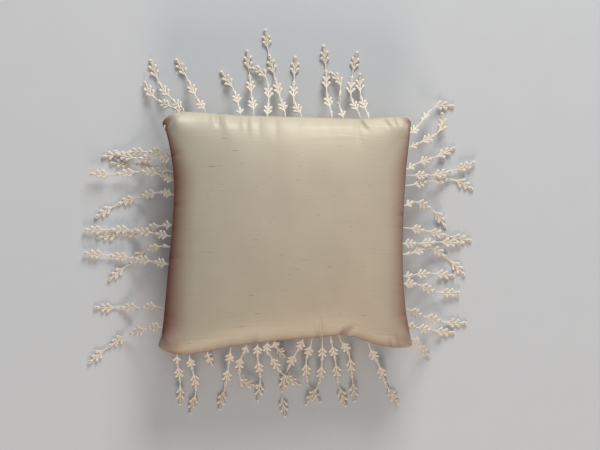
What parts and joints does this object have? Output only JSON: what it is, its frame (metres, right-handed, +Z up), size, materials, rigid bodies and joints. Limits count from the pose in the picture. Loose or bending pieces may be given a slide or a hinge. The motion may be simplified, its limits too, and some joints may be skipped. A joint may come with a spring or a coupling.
{
  "type": "ring bearer pillow",
  "caption": "Square stuffed silk cushion that carries wedding rings, edged in the seam with hanging lace leaf drops that lift and fold about the seam.",
  "frame": {"origin": "middle of the flat patch of the back panel that the pillow rests on", "axes": "+Z up from the resting plane through the front face, +Y towards the top seam, +X towards the right seam"},
  "size_m": [0.3236, 0.3211, 0.065],
  "materials": {
    "silk": "slubbed silk with a soft sheen",
    "muslin": "matt plain-weave cotton",
    "fibrefill": "loose matt fibre",
    "lace_heading": "flat embroidered braid",
    "lace": "raised embroidery thread with a low sheen"
  },
  "bodies": {
    "pillow": {"front_panel": "silk", "back_panel": "silk", "form_front": "muslin", "form_back": "muslin", "fibre_filling": "fibrefill", "top_heading": "lace_heading", "right_heading": "lace_heading", "bottom_heading": "lace_heading", "left_heading": "lace_heading"},
    "top_fringe": {"top_drop_01": "lace", "top_drop_02": "lace", "top_drop_03": "lace", "top_drop_04": "lace", "top_drop_05": "lace", "top_drop_06": "lace", "top_drop_07": "lace", "top_drop_08": "lace", "top_drop_09": "lace", "top_drop_10": "lace", "top_drop_11": "lace", "top_drop_12": "lace"},
    "right_fringe": {"right_drop_01": "lace", "right_drop_02": "lace", "right_drop_03": "lace", "right_drop_04": "lace", "right_drop_05": "lace", "right_drop_06": "lace", "right_drop_07": "lace", "right_drop_08": "lace", "right_drop_09": "lace", "right_drop_10": "lace", "right_drop_11": "lace", "right_drop_12": "lace", "right_drop_13": "lace", "right_drop_14": "lace"},
    "bottom_fringe": {"bottom_drop_01": "lace", "bottom_drop_02": "lace", "bottom_drop_03": "lace", "bottom_drop_04": "lace", "bottom_drop_05": "lace", "bottom_drop_06": "lace", "bottom_drop_07": "lace", "bottom_drop_08": "lace", "bottom_drop_09": "lace", "bottom_drop_10": "lace", "bottom_drop_11": "lace", "bottom_drop_12": "lace", "bottom_drop_13": "lace", "bottom_drop_14": "lace"},
    "left_fringe": {"left_drop_01": "lace", "left_drop_02": "lace", "left_drop_03": "lace", "left_drop_04": "lace", "left_drop_05": "lace", "left_drop_06": "lace", "left_drop_07": "lace", "left_drop_08": "lace", "left_drop_09": "lace", "left_drop_10": "lace", "left_drop_11": "lace"}
  },
  "joints": [
    {"name": "top_fringe_lift", "type": "hinge", "parent": "pillow", "child": "top_fringe", "pos_m": [0, 0.099, 0.031], "axis": [1, 0, 0], "range_deg": [0, 135]},
    {"name": "right_fringe_lift", "type": "hinge", "parent": "pillow", "child": "right_fringe", "pos_m": [0.103, 0, 0.031], "axis": [0, -1, 0], "range_deg": [0, 135]},
    {"name": "bottom_fringe_lift", "type": "hinge", "parent": "pillow", "child": "bottom_fringe", "pos_m": [0, -0.104, 0.031], "axis": [-1, 0, 0], "range_deg": [0, 135]},
    {"name": "left_fringe_lift", "type": "hinge", "parent": "pillow", "child": "left_fringe", "pos_m": [-0.105, 0, 0.031], "axis": [0, 1, 0], "range_deg": [0, 135]}
  ]
}
